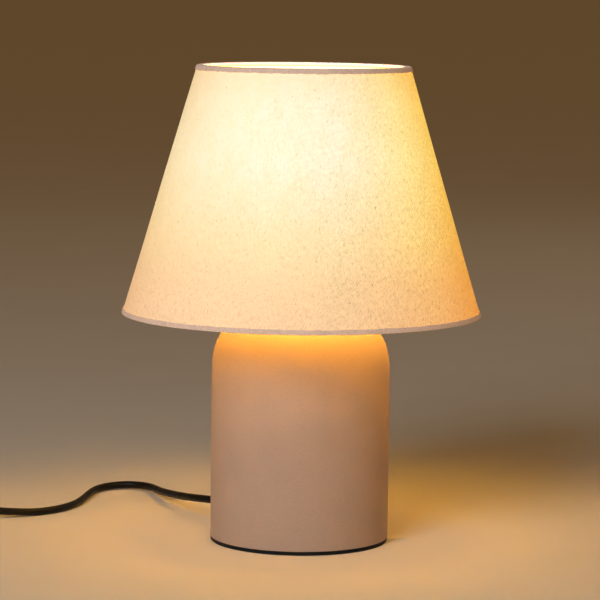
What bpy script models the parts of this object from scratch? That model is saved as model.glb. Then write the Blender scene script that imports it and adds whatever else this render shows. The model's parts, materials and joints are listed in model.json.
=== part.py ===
"""A table lamp: a domed steel base on a black foot, a conical fabric shade on an E27 lampholder,
an opal bulb, and a mains lead with an inline rocker switch, a coil and a plug.

Metres, +Z up. The origin is on the lamp's axis, on the surface that it stands on. Run it with
blender --background --python part.py, or from Blender's text editor.
"""
import math

import bmesh
import bpy
from mathutils import Matrix, Vector

# ---------------------------------------------------------------- driving dimensions
TOTAL_HEIGHT = 0.400
GAP = 0.0003                      # between two pieces that touch

BASE_RADIUS = 0.075
BASE_TOP = 0.190
FOOT_THICKNESS = 0.0014
PLATE_THICKNESS = 0.0012
PLATE_TOP = FOOT_THICKNESS + GAP + PLATE_THICKNESS
PLATE_SCREW_CIRCLE = 0.0665       # radius on which the three plate screws lie
SHELL_WALL = 0.0012
SHOULDER_HEIGHT = 0.052           # how far below its top the base starts to round in
SHOULDER_WIDTH = 0.040
SHOULDER_POWER = 2.55             # 2 is an ellipse, more is squarer
BALLAST_RADIUS = 0.058
BALLAST_THICKNESS = 0.0126

SHADE_BOTTOM = 0.192
SHADE_BOTTOM_RADIUS = 0.151
SHADE_TOP_RADIUS = 0.0895
CLOTH = 0.0005
LINING = 0.0004
SHADE_WIRE_RADIUS = 0.0015
HEM_HEIGHT = 0.0045
ARM_AZIMUTHS = (90, 210, 330)

NIPPLE_RADIUS = 0.0050
NIPPLE_BORE = 0.0039
HOLDER_RADIUS = 0.0197
FITTER_BORE = 0.0203
FITTER_THICKNESS = 0.002
HOLDER_SHOULDER = 0.2160          # on which the fitter ring rests
FITTER_TOP = HOLDER_SHOULDER + GAP + FITTER_THICKNESS

BULB_TIP = 0.2190                 # underside of the bulb's centre contact
BULB_CAP_RADIUS = 0.0131
BULB_RADIUS = 0.030
BULB_CENTRE = 0.297

CORD_RADIUS = 0.00325
CORD_BORE = CORD_RADIUS + GAP
CORD_ON_TABLE = 0.0033            # centre line of a cord that lies on the table
EXIT_AZIMUTH = 138
EXIT_HEIGHT = 0.020
EXIT_FLANGE = 0.0754              # radius at which the strain relief's flange starts
EXIT_TIP = 0.0965                 # radius of the strain relief's outer end

SWITCH_CENTRE = Vector((-0.310, 0.073, 0.0081))
SWITCH_LENGTH = 0.066
SWITCH_WIDTH = 0.026
SWITCH_HALF_HEIGHT = 0.0080
ROCKER_TILT = 7                   # degrees each side of level

COIL_CENTRE = Vector((-0.328, 0.144, 0.0))
COIL_RADII = (0.0315, 0.0445)     # centre lines of the innermost and outermost turns
COIL_BOTTOM = 0.0009
COIL_HEIGHT = 0.0131
TIE_AZIMUTH = 20

PLUG_START = Vector((-0.3725, 0.184, 0.0072))
PLUG_RELIEF_LENGTH = 0.024
PLUG_LENGTH = 0.036
PLUG_WIDTH = 0.0353
PLUG_HEIGHT = 0.0137
PIN_RADIUS = 0.0020
PIN_LENGTH = 0.019
PIN_SPACING = 0.0182

ROUND = 48                        # segments of the large turned pieces
SMALL = 24
TINY = 12

# The lead's route, each list along the cord's centre line.
LAMP_SIDE_ROUTE = [
    (-0.0818, 0.0752, 0.0192),
    (-0.0909, 0.0866, 0.0180),
    (-0.0984, 0.0991, 0.0165),
    (-0.1046, 0.1123, 0.0150),
    (-0.1100, 0.1259, 0.0134),
    (-0.1148, 0.1396, 0.0117),
    (-0.1194, 0.1535, 0.0102),
    (-0.1238, 0.1674, 0.0087),
    (-0.1280, 0.1813, 0.0075),
    (-0.1311, 0.1923, 0.0066),
    (-0.1343, 0.2025, 0.0059),
    (-0.1391, 0.2121, 0.0053),
    (-0.1470, 0.2196, 0.0050),
    (-0.1573, 0.2234, 0.0048),
    (-0.1682, 0.2226, 0.0044),
    (-0.1779, 0.2174, 0.0039),
    (-0.1848, 0.2089, 0.0035),
    (-0.1885, 0.1986, CORD_ON_TABLE),
    (-0.1911, 0.1834, CORD_ON_TABLE),
    (-0.1932, 0.1684, CORD_ON_TABLE),
    (-0.1953, 0.1533, CORD_ON_TABLE),
    (-0.1982, 0.1385, CORD_ON_TABLE),
    (-0.2028, 0.1240, CORD_ON_TABLE),
    (-0.2097, 0.1105, CORD_ON_TABLE),
    (-0.2191, 0.0985, 0.0034),
    (-0.2307, 0.0887, 0.0037),
    (-0.2440, 0.0814, 0.0048),
    (-0.2583, 0.0765, 0.0062),
]
COIL_IN_ROUTE = [
    (-0.3620, 0.0768, 0.0067),
    (-0.3722, 0.0870, 0.0053),
    (-0.3761, 0.1010, 0.0045),
    (-0.3762, 0.1210, 0.0042),
]
COIL_OUT_ROUTE = [
    (-0.3724, 0.1700, 0.0094),
    (-0.3725, 0.1770, 0.0077),
]


# ---------------------------------------------------------------- tools
def clear_scene():
    for obj in list(bpy.data.objects):
        bpy.data.objects.remove(obj, do_unlink=True)


def new_collection(name):
    collection = bpy.data.collections.new(name)
    bpy.context.scene.collection.children.link(collection)
    return collection


def material(name, color, roughness, metallic=0.0):
    made = bpy.data.materials.new(name)
    made.use_nodes = True
    shader = made.node_tree.nodes["Principled BSDF"]
    shader.inputs["Base Color"].default_value = (*color, 1.0)
    shader.inputs["Roughness"].default_value = roughness
    shader.inputs["Metallic"].default_value = metallic
    return made


def add(name, data, finish, collection=None):
    obj = bpy.data.objects.new(name, data)
    if finish is not None:
        data.materials.append(finish)
    (collection or LAMP).objects.link(obj)
    return obj


def smooth(mesh):
    mesh.shade_smooth()
    mesh.set_sharp_from_angle(angle=math.radians(35))


def applied(obj):
    """The object again as a plain mesh, with its modifiers applied."""
    bpy.context.view_layer.update()
    graph = bpy.context.evaluated_depsgraph_get()
    mesh = bpy.data.meshes.new_from_object(obj.evaluated_get(graph))
    name, place, collection = obj.name, obj.matrix_world.copy(), obj.users_collection[0]
    bpy.data.objects.remove(obj, do_unlink=True)
    work = bmesh.new()
    work.from_mesh(mesh)
    bmesh.ops.remove_doubles(work, verts=work.verts, dist=0.00002)
    work.to_mesh(mesh)
    work.free()
    smooth(mesh)
    plain = bpy.data.objects.new(name, mesh)
    plain.matrix_world = place
    collection.objects.link(plain)
    return plain


def turned(name, outline, finish, segments=SMALL, closed=True, collection=None):
    """A turned piece: an outline of (radius, height) points that runs down its outer side."""
    mesh = bpy.data.meshes.new(name)
    last = len(outline) if closed else len(outline) - 1
    edges = [(i, (i + 1) % len(outline)) for i in range(last)]
    mesh.from_pydata([(r, 0.0, z) for r, z in outline], edges, [])
    obj = add(name, mesh, finish, collection)
    screw = obj.modifiers.new("Turn", "SCREW")
    screw.steps = segments
    screw.render_steps = segments
    screw.use_merge_vertices = True
    screw.merge_threshold = 0.00002
    return applied(obj)


def tube(name, points, radius, finish, sides=2):
    """A round bar along the points, with flat ends."""
    curve = bpy.data.curves.new(name, "CURVE")
    curve.dimensions = "3D"
    curve.bevel_depth = radius
    curve.bevel_resolution = sides
    curve.use_fill_caps = True
    spline = curve.splines.new("POLY")
    spline.points.add(len(points) - 1)
    for point, place in zip(spline.points, points):
        point.co = (*place, 1.0)
    return add(name, curve, finish)


def plate(name, outlines, thickness, finish, collection=None):
    """A flat piece from outlines in X and Y, the first its edge and the rest its holes."""
    curve = bpy.data.curves.new(name, "CURVE")
    curve.dimensions = "2D"
    curve.fill_mode = "BOTH"
    curve.extrude = thickness / 2
    for outline in outlines:
        spline = curve.splines.new("POLY")
        spline.points.add(len(outline) - 1)
        for point, (x, y) in zip(spline.points, outline):
            point.co = (x, y, 0.0, 1.0)
        spline.use_cyclic_u = True
    return applied(add(name, curve, finish, collection))


def circle(radius, count=SMALL, centre=(0.0, 0.0), turn=0.0):
    angles = [turn + 2 * math.pi * i / count for i in range(count)]
    return [(centre[0] + radius * math.cos(a), centre[1] + radius * math.sin(a)) for a in angles]


def solid(name, shapes, finish, collection=None):
    """Cylinders (radius, length, place) and boxes (size, place). A piece has one, a cutter has several."""
    mesh = bpy.data.meshes.new(name)
    work = bmesh.new()
    for shape in shapes:
        if len(shape) == 3:
            radius, length, place = shape
            bmesh.ops.create_cone(work, cap_ends=True, segments=TINY, radius1=radius,
                                  radius2=radius, depth=length, matrix=place)
        else:
            size, place = shape
            bmesh.ops.create_cube(work, size=1.0, matrix=place @ Matrix.Diagonal((*size, 1.0)))
    work.to_mesh(mesh)
    work.free()
    smooth(mesh)
    return add(name, mesh, finish, collection)


def rod(name, radius, length, place, finish):
    return solid(name, [(radius, length, place)], finish)


def block(name, size, place, finish):
    return solid(name, [(size, place)], finish)


def bevelled(obj, width, segments=2, angle=40):
    bevel = obj.modifiers.new("Bevel", "BEVEL")
    bevel.width = width
    bevel.segments = segments
    bevel.limit_method = "ANGLE"
    bevel.angle_limit = math.radians(angle)
    return obj


def cut(obj, cutter):
    cutter.hide_render = True
    cutter.display_type = "WIRE"
    boolean = obj.modifiers.new("Cut " + cutter.name, "BOOLEAN")
    boolean.operation = "DIFFERENCE"
    boolean.solver = "EXACT"
    boolean.object = cutter


def at(x, y, z):
    return Matrix.Translation((x, y, z))


def around(azimuth, radius=0.0, height=0.0):
    """A place at an azimuth, in degrees from +X, whose own X points outward."""
    return Matrix.Rotation(math.radians(azimuth), 4, "Z") @ at(radius, 0.0, height)


# Turns a piece's own axis from +Z to +X or +Y.
ALONG_X = Matrix.Rotation(math.radians(90), 4, "Y")
ALONG_Y = Matrix.Rotation(math.radians(-90), 4, "X")

SCREW_PLACES = circle(PLATE_SCREW_CIRCLE, 3, turn=math.pi / 2)


def smooth_route(points, spacing):
    """Evenly spaced points on the smooth curve (Catmull-Rom) through the given ones."""
    knots = [Vector(p) for p in points]
    knots = [2 * knots[0] - knots[1], *knots, 2 * knots[-1] - knots[-2]]
    fine = []
    for a, b, c, d in zip(knots, knots[1:], knots[2:], knots[3:]):
        for step in range(12):
            t = step / 12
            fine.append(0.5 * (2 * b + (c - a) * t + (2 * a - 5 * b + 4 * c - d) * t ** 2
                               + (3 * b - a - 3 * c + d) * t ** 3))
    fine.append(knots[-2])
    travel = [0.0]
    for a, b in zip(fine, fine[1:]):
        travel.append(travel[-1] + (b - a).length)
    count = max(2, round(travel[-1] / spacing))
    route = []
    near = 0
    for i in range(count + 1):
        target = travel[-1] * i / count
        while near < len(travel) - 2 and travel[near + 1] < target:
            near += 1
        share = (target - travel[near]) / (travel[near + 1] - travel[near])
        route.append(fine[near].lerp(fine[near + 1], share))
    return route


# ---------------------------------------------------------------- the base
def shoulder(inset, points):
    """The rounding from the base's side to its flat top, top first, inset by a wall thickness."""
    width = SHOULDER_WIDTH - inset
    height = SHOULDER_HEIGHT - inset
    outline = []
    for i in range(points + 1):
        angle = math.pi / 2 * (1 - i / points)
        x = width * math.cos(angle) ** (2 / SHOULDER_POWER)
        z = height * math.sin(angle) ** (2 / SHOULDER_POWER)
        outline.append((BASE_RADIUS - SHOULDER_WIDTH + x, BASE_TOP - SHOULDER_HEIGHT + z))
    return outline


def build_foot():
    radius = BASE_RADIUS - 0.0003
    chamfer = 0.0003
    turned("foot_pad", [(0, FOOT_THICKNESS), (radius, FOOT_THICKNESS), (radius, chamfer),
                        (radius - chamfer, 0), (0, 0)], BLACK_RUBBER, ROUND, closed=False)

    bottom = FOOT_THICKNESS + GAP
    holes = [circle(0.0022, TINY, p) for p in SCREW_PLACES]
    base_plate = plate("bottom_plate", [circle(BASE_RADIUS - 0.0003, ROUND), circle(0.0034, TINY), *holes],
                       PLATE_THICKNESS, BLACK_STEEL)
    base_plate.location.z = bottom + PLATE_THICKNESS / 2
    for number, (x, y) in enumerate(SCREW_PLACES, 1):
        rod(f"plate_screw_{number}", 0.0019, 0.0058, at(x, y, bottom + 0.0029), ZINC)


def build_ballast():
    bottom = PLATE_TOP + GAP
    top = bottom + BALLAST_THICKNESS
    turned("ballast", [(BALLAST_RADIUS - 0.001, top), (BALLAST_RADIUS, top - 0.001),
                       (BALLAST_RADIUS, bottom), (0.0034, bottom), (0.0034, top)], CAST_IRON, ROUND)
    head = top + GAP
    turned("ballast_bolt", [(0, head + 0.0035), (0.0050, head + 0.0035), (0.0055, head + 0.003),
                            (0.0055, head), (0.0031, head), (0.0031, PLATE_TOP - PLATE_THICKNESS),
                            (0, PLATE_TOP - PLATE_THICKNESS)], ZINC, SMALL, closed=False)
    return top


def build_shell():
    rim = PLATE_TOP + GAP
    inner_radius = BASE_RADIUS - SHELL_WALL
    outer = shoulder(0.0, 9)
    inner = shoulder(SHELL_WALL, 6)
    hole = NIPPLE_RADIUS + GAP
    outline = [(hole, BASE_TOP), *outer, (BASE_RADIUS, rim), (inner_radius, rim),
               *reversed(inner), (hole, BASE_TOP - SHELL_WALL)]
    shell = turned("base_shell", outline, POWDER_COAT, ROUND)
    hole_place = around(EXIT_AZIMUTH, 0.074, EXIT_HEIGHT) @ ALONG_X
    cut(shell, solid("strain_relief_hole", [(0.0061, 0.012, hole_place)], None, CUTTERS))

    holes = [circle(0.0022, TINY, p) for p in SCREW_PLACES]
    ring = plate("shell_ring", [circle(inner_radius - GAP, SMALL), circle(0.0600, SMALL), *holes],
                 0.0015, ZINC)
    ring.location.z = rim + 0.00075


def build_cord_entry(ballast_top):
    """The tapered strain relief, the saddle inside the base, and the lead up to the nipple."""
    flange = EXIT_FLANGE
    bore = CORD_BORE
    relief = turned("strain_relief", [(0.0046, EXIT_TIP), (0.0052, EXIT_TIP - 0.001),
                                      (0.0066, flange + 0.003), (0.0078, flange + 0.0022),
                                      (0.0078, flange), (0.0057, flange), (0.0057, 0.0724),
                                      (0.0076, 0.0724), (0.0076, 0.0690), (bore, 0.0690),
                                      (bore, EXIT_TIP)], BLACK_PVC, 20)
    relief.matrix_world = around(EXIT_AZIMUTH, 0.0, EXIT_HEIGHT) @ ALONG_X

    saddle_at = around(EXIT_AZIMUTH, 0.046, ballast_top + GAP)
    outline = [(-0.0095, 0.0), (-0.0040, 0.0), (-0.0040, 0.0050), (-0.0028, 0.0078), (0.0, 0.0088),
               (0.0028, 0.0078), (0.0040, 0.0050), (0.0040, 0.0), (0.0095, 0.0), (0.0095, 0.0016),
               (0.0056, 0.0016), (0.0056, 0.0058), (0.0036, 0.0094), (0.0, 0.0106),
               (-0.0036, 0.0094), (-0.0056, 0.0058), (-0.0056, 0.0016), (-0.0095, 0.0016)]
    saddle = plate("cord_clamp", [outline], 0.008, ZINC)
    saddle.matrix_world = saddle_at @ Matrix.Rotation(math.radians(90), 4, "Z") @ Matrix.Rotation(
        math.radians(90), 4, "X")
    for side in (-1, 1):
        rod(f"clamp_screw_{(side + 3) // 2}", 0.0016, 0.0016,
            saddle_at @ at(0.0, side * 0.0077, 0.0016 + GAP + 0.0008), ZINC)

    outward = around(EXIT_AZIMUTH).to_3x3() @ Vector((1, 0, 0))
    inside = [outward * 0.0880, outward * 0.062, outward * 0.046, outward * 0.034, outward * 0.020,
              outward * 0.010, outward * 0.004]
    heights = [EXIT_HEIGHT, EXIT_HEIGHT, 0.0205, 0.026, 0.050, 0.095, 0.150]
    lead = [Vector((p.x, p.y, z)) for p, z in zip(inside, heights)]
    tube("inner_lead", smooth_route(lead, 0.010), CORD_RADIUS, BLACK_PVC)

    end = lead[-1]
    for name, side, finish in (("wire_live", 1, BROWN_PVC), ("wire_neutral", -1, BLUE_PVC)):
        route = [(end.x + side * 0.0014, end.y, end.z + GAP), (side * 0.0017, 0.0, 0.170),
                 (side * 0.0017, 0.0, 0.1930), (side * 0.0030, 0.0, 0.1985),
                 (side * 0.0085, 0.0, 0.2015)]
        tube(name, smooth_route(route, 0.006), 0.0011, finish)


# ---------------------------------------------------------------- the lampholder
def build_nipple():
    turned("nipple", [(NIPPLE_RADIUS, 0.1980), (NIPPLE_RADIUS, 0.1800), (NIPPLE_BORE, 0.1800),
                      (NIPPLE_BORE, 0.1980)], BRASS, SMALL)
    under_top = BASE_TOP - SHELL_WALL - GAP
    hole = circle(NIPPLE_RADIUS + GAP, SMALL)
    nut = plate("lock_nut", [circle(0.0081, 6), hole], 0.003, ZINC)
    nut.location.z = under_top - 0.0015
    washer = plate("seat_washer", [circle(0.0130, SMALL), hole], 0.0012, ZINC)
    washer.location.z = BASE_TOP + GAP + 0.0006


def build_holder():
    hole = NIPPLE_RADIUS + GAP
    foot = BASE_TOP + GAP + 0.0012 + GAP
    turned("holder_cap", [(0.0196, 0.2135), (0.0196, 0.2040), (0.0176, 0.1985), (0.0135, 0.1928),
                          (0.0120, foot), (hole, foot), (hole, 0.1955), (0.0105, 0.1955),
                          (0.0156, 0.2000), (0.0178, 0.2045), (0.0178, 0.2135)], WHITE_PLASTIC)
    turned("holder_insert", [(0, 0.2140), (0.0168, 0.2140), (0.0173, 0.2135), (0.0173, 0.2060),
                             (0, 0.2060)], CERAMIC, SMALL, closed=False)
    for side, name in ((1, "live_terminal"), (-1, "neutral_terminal")):
        block(name, (0.0070, 0.0060, 0.0030), at(side * 0.0105, 0.0, 0.2042), BRASS)
    shell_bottom = 0.2140 + GAP
    turned("screw_shell", [(0.0139, 0.2370), (0.0139, shell_bottom), (0.0100, shell_bottom),
                           (0.0100, shell_bottom + 0.0005), (0.0135, shell_bottom + 0.0005),
                           (0.0135, 0.2370)], NICKEL)
    strip = [(-0.0060, 0.0), (-0.0020, 0.0), (0.0040, 0.0036), (0.0040, 0.0041), (0.0, 0.0041),
             (-0.0024, 0.0005), (-0.0060, 0.0005)]
    contact = plate("centre_contact", [strip], 0.0044, BRASS)
    contact.matrix_world = at(0.0, 0.0, shell_bottom) @ Matrix.Rotation(math.radians(90), 4, "X")
    turned("holder_skirt", [(0.0190, 0.2460), (HOLDER_RADIUS, 0.2450), (HOLDER_RADIUS, HOLDER_SHOULDER),
                            (0.0235, HOLDER_SHOULDER), (0.0235, 0.2138), (0.0178, 0.2138), (0.0178, 0.2400),
                            (0.0145, 0.2420), (0.0145, 0.2460)], WHITE_PLASTIC)


def build_shade_ring():
    bottom = FITTER_TOP + GAP
    turned("shade_ring", [(0.0236, bottom + 0.0070), (0.0240, bottom + 0.0066), (0.0240, bottom + 0.0020),
                          (0.0285, bottom + 0.0020), (0.0285, bottom), (0.0201, bottom),
                          (0.0201, bottom + 0.0070)], WHITE_PLASTIC)


# ---------------------------------------------------------------- the bulb
def build_bulb():
    tip = BULB_TIP
    turned("bulb_contact", [(0, tip + 0.0022), (0.0046, tip + 0.0022), (0.0048, tip + 0.0008),
                            (0.0036, tip), (0, tip)], BRASS, SMALL, closed=False)
    low = tip + 0.0022 + GAP
    turned("bulb_insulator", [(0.0112, low + 0.0048), (0.0112, low + 0.0042), (0.0052, low),
                              (0.0030, low), (0.0030, low + 0.0012), (0.0080, low + 0.0048)],
           BLACK_GLASS)
    base = low + 0.0048 + GAP
    top = base + 0.0205
    r = BULB_CAP_RADIUS
    turned("bulb_screw_cap", [(r, top), (r, base + 0.0012), (r - 0.0016, base), (r - 0.0030, base),
                              (r - 0.0006, base + 0.0018), (r - 0.0006, top)], NICKEL)
    neck = top + GAP
    outer = [(r + 0.0003, neck), (r + 0.0012, neck + 0.010)]
    for degrees in (-50, -25, 0, 22, 45, 68, 90):
        a = math.radians(degrees)
        outer.append((BULB_RADIUS * math.cos(a), BULB_CENTRE + BULB_RADIUS * math.sin(a)))
    outer[-1] = (0.0, BULB_CENTRE + BULB_RADIUS)
    wall = 0.0009
    inner = [(x - wall, z) for x, z in outer[:2]]
    for degrees in (-50, -20, 10, 40, 68, 90):
        a = math.radians(degrees)
        radius = BULB_RADIUS - wall
        inner.append((radius * math.cos(a), BULB_CENTRE + radius * math.sin(a)))
    inner[-1] = (0.0, BULB_CENTRE + BULB_RADIUS - wall)
    turned("bulb_glass", [*reversed(outer), *inner], OPAL_GLASS, SMALL, closed=False)
    turned("bulb_stem", [(0, 0.290), (0.0025, 0.290), (0.0035, 0.262), (0.0105, neck - 0.004),
                         (0, neck - 0.004)], CLEAR_GLASS, TINY, closed=False)
    turns = 2
    spiral = []
    for step in range(16 * turns + 1):
        angle = 2 * math.pi * step / 16
        spiral.append((0.011 * math.cos(angle), 0.011 * math.sin(angle), 0.280 + 0.001 * step))
    tube("led_filament", spiral, 0.0010, PHOSPHOR, 1)


# ---------------------------------------------------------------- the shade
def cone(z):
    """The shade's outer radius at a height."""
    share = (z - SHADE_BOTTOM) / (TOTAL_HEIGHT - SHADE_BOTTOM)
    return SHADE_BOTTOM_RADIUS + share * (SHADE_TOP_RADIUS - SHADE_BOTTOM_RADIUS)


def cone_wall(low, high, start, thickness):
    """A wall that follows the shade, start inside its outer face."""
    return [(cone(high) - start, high), (cone(low) - start, low),
            (cone(low) - start - thickness, low), (cone(high) - start - thickness, high)]


def build_shade():
    cloth_in = CLOTH + GAP
    lining_in = cloth_in + CLOTH + GAP
    wire_in = lining_in + LINING + GAP + SHADE_WIRE_RADIUS * 1.05
    hem_in = wire_in + SHADE_WIRE_RADIUS * 1.05 + GAP
    low = SHADE_BOTTOM + CLOTH + GAP
    high = TOTAL_HEIGHT - CLOTH - GAP
    turned("shade_fabric", cone_wall(low, high, cloth_in, CLOTH), LINEN, ROUND)
    turned("shade_lining", cone_wall(low, high, lining_in, LINING), WHITE_FILM, ROUND)

    for name, z in (("bottom_wire", low + SHADE_WIRE_RADIUS), ("top_wire", high - SHADE_WIRE_RADIUS)):
        section = circle(SHADE_WIRE_RADIUS, 6, (cone(z) - wire_in, z))
        turned(name, list(reversed(section)), WHITE_STEEL, ROUND)

    for name, edge, way in (("bottom_trim", SHADE_BOTTOM, 1), ("top_trim", TOTAL_HEIGHT, -1)):
        leg = edge + way * HEM_HEIGHT
        inner_leg = edge + way * 0.0017
        outline = [(cone(leg), leg), (cone(edge), edge), (cone(edge) - hem_in - CLOTH, edge),
                   (cone(inner_leg) - hem_in - CLOTH, inner_leg), (cone(inner_leg) - hem_in, inner_leg),
                   (cone(edge) - hem_in, edge + way * CLOTH), (cone(edge) - CLOTH, edge + way * CLOTH),
                   (cone(leg) - CLOTH, leg)]
        turned(name, outline if way > 0 else list(reversed(outline)), TRIM_TAPE, ROUND)

    fitter = plate("fitter_ring", [circle(0.0260, SMALL), circle(FITTER_BORE, SMALL)],
                   FITTER_THICKNESS, WHITE_STEEL)
    fitter.location.z = FITTER_TOP - FITTER_THICKNESS / 2
    height = FITTER_TOP - SHADE_WIRE_RADIUS - 0.0001
    reach = cone(low) - hem_in - 0.0002
    path = [(0.0264, height), (0.0400, height), (reach - 0.010, 0.1964), (reach, 0.1960)]
    for number, azimuth in enumerate(ARM_AZIMUTHS, 1):
        place = around(azimuth)
        tube(f"fitter_arm_{number}", [place @ Vector((r, 0.0, z)) for r, z in path],
             SHADE_WIRE_RADIUS, WHITE_STEEL)


# ---------------------------------------------------------------- the lead
def build_lamp_side_cord():
    outward = around(EXIT_AZIMUTH).to_3x3() @ Vector((1, 0, 0))
    lift = Vector((0, 0, EXIT_HEIGHT))
    inlet = SWITCH_CENTRE + Vector((SWITCH_LENGTH / 2 - 0.006, 0, 0))
    route = [outward * 0.0885 + lift, outward * EXIT_TIP + lift, *LAMP_SIDE_ROUTE,
             inlet + Vector((0.010, 0, -0.0003)), inlet]
    tube("cord_lamp_side", smooth_route(route, 0.0145), CORD_RADIUS, BLACK_PVC)


def switch_outline():
    """The switch's plan: a bar that narrows at both ends."""
    half, wide, narrow = SWITCH_LENGTH / 2, SWITCH_WIDTH / 2, 0.0062
    quarter = [(half, narrow), (half - 0.006, narrow + 0.0012), (half - 0.014, wide - 0.0012),
               (half - 0.020, wide)]
    upper = quarter + [(-x, y) for x, y in reversed(quarter)]
    return upper + [(-x, -y) for x, y in upper]


def build_switch():
    centre = SWITCH_CENTRE
    half = SWITCH_HALF_HEIGHT
    cavity = ((0.040, 0.018, 0.0112), at(centre.x, centre.y, centre.z))
    bore = (CORD_BORE + GAP, SWITCH_LENGTH + 0.01, at(*centre) @ ALONG_X)
    hollow = solid("switch_cavity", [cavity], None, CUTTERS)
    channel = solid("switch_channel", [bore], None, CUTTERS)
    window_place = at(centre.x, centre.y, centre.z + half)
    window = solid("rocker_window", [((0.0210, 0.0104, 0.012), window_place)], None, CUTTERS)
    screw_places = [(centre.x + side * 0.0245, centre.y + side * 0.0068) for side in (-1, 1)]
    screw_holes = solid("switch_screw_holes", [(0.0016, 0.018, at(x, y, centre.z - 0.006))
                                               for x, y in screw_places], None, CUTTERS)
    for name, way in (("switch_lower", -1), ("switch_upper", 1)):
        thickness = half - GAP / 2
        shell = plate(name, [switch_outline()], thickness, BLACK_PLASTIC)
        shell.location = centre + Vector((0, 0, way * (thickness + GAP) / 2))
        for cutter in (hollow, channel, screw_holes):
            cut(shell, cutter)
        if way > 0:
            cut(shell, window)
    for number, (x, y) in enumerate(screw_places, 1):
        rod(f"switch_screw_{number}", 0.0013, 0.0098, at(x, y, centre.z - 0.0028), ZINC)

    pivot = centre + Vector((0, 0, 0.0052))
    side_view = [(-0.0098, 0.0022), (-0.0098, 0.0035), (0.0, 0.0021), (0.0098, 0.0035),
                 (0.0098, 0.0022), (0.0040, -0.0022), (-0.0040, -0.0022)]
    rocker = plate("switch_rocker", [side_view, circle(0.0012, TINY)], 0.0094, BLACK_PLASTIC)
    rocker.matrix_world = (at(*pivot) @ Matrix.Rotation(math.radians(ROCKER_TILT), 4, "Y")
                           @ Matrix.Rotation(math.radians(90), 4, "X"))
    rod("switch_pin", 0.0009, 0.0098, at(*pivot) @ ALONG_Y, ZINC)
    for side in (-1, 1):
        block(f"switch_terminal_{(side + 3) // 2}", (0.0060, 0.0050, 0.0050),
              at(centre.x + side * 0.0105, centre.y, centre.z - 0.0029), BRASS)


def build_plug_side_cord():
    outlet = SWITCH_CENTRE - Vector((SWITCH_LENGTH / 2 - 0.006, 0, 0))
    route = [outlet, outlet + Vector((-0.011, 0, -0.0002)), *COIL_IN_ROUTE]
    tube("cord_coil_lead", smooth_route(route, 0.0130), CORD_RADIUS, BLACK_PVC)

    inner, outer = COIL_RADII
    low, high = COIL_BOTTOM, COIL_BOTTOM + COIL_HEIGHT
    r_in, r_out = inner - CORD_RADIUS, outer + CORD_RADIUS
    coil = turned("cord_coil", [(r_out - 0.0046, high), (r_out - 0.0034, high - 0.0016),
                                (r_out, low + 0.0050), (r_out, low + 0.0020), (r_out - 0.002, low),
                                (r_in + 0.002, low), (r_in, low + 0.0020), (r_in, low + 0.0050),
                                (r_in + 0.0034, high - 0.0016), (r_in + 0.0046, high)],
                  BLACK_PVC, ROUND)
    coil.location = COIL_CENTRE


def build_tie():
    """A strap round the coil, at the coil's far side from the lead."""
    inner, outer = COIL_RADII
    mid = (inner + outer) / 2
    half = (outer - inner) / 2 + CORD_RADIUS + 3 * GAP
    low, high = COIL_BOTTOM - GAP, COIL_BOTTOM + COIL_HEIGHT + GAP
    thick = 0.0005

    def loop(grow):
        return [(-half - grow, low - grow), (half + grow, low - grow), (half + grow, high - 0.0050),
                (half - 0.0040 + grow, high + grow), (-half + 0.0040 - grow, high + grow),
                (-half - grow, high - 0.0050)]
    tie = plate("cord_tie", [loop(thick), loop(0.0)], 0.010, BLACK_TIE)
    tie.matrix_world = (Matrix.Translation(COIL_CENTRE) @ around(TIE_AZIMUTH, mid)
                        @ Matrix.Rotation(math.radians(90), 4, "X"))


def build_plug():
    start = PLUG_START
    route = [*COIL_OUT_ROUTE, start, start + Vector((0, 0.006, 0))]
    tube("cord_tail", smooth_route(route, 0.0130), CORD_RADIUS, BLACK_PVC)

    relief = turned("plug_relief", [(0.0060, PLUG_RELIEF_LENGTH), (0.0044, 0.001), (0.0042, 0),
                                    (CORD_BORE + GAP, 0), (CORD_BORE + GAP, 0.008), (0.0034, 0.009),
                                    (0.0034, PLUG_RELIEF_LENGTH)], BLACK_PVC, 20)
    relief.matrix_world = Matrix.Translation(start) @ ALONG_Y
    front = start.y + PLUG_RELIEF_LENGTH + GAP
    half, back = PLUG_WIDTH / 2, 0.0095
    outline = [(-back, 0.0), (back, 0.0), (half, 0.014), (half, PLUG_LENGTH), (-half, PLUG_LENGTH),
               (-half, 0.014)]
    body = plate("plug_body", [outline], PLUG_HEIGHT, BLACK_PVC)
    body.location = (start.x, front, start.z)
    bevelled(body, 0.0022)
    face = front + PLUG_LENGTH + GAP
    for side in (-1, 1):
        pin = rod(f"plug_pin_{(side + 3) // 2}", PIN_RADIUS, PIN_LENGTH,
                  at(start.x + side * PIN_SPACING / 2, face + PIN_LENGTH / 2, start.z) @ ALONG_Y, NICKEL)
        bevelled(pin, 0.0008, 1)


# ---------------------------------------------------------------- the lamp
clear_scene()
LAMP = new_collection("table_lamp")
CUTTERS = new_collection("cutters")

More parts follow.
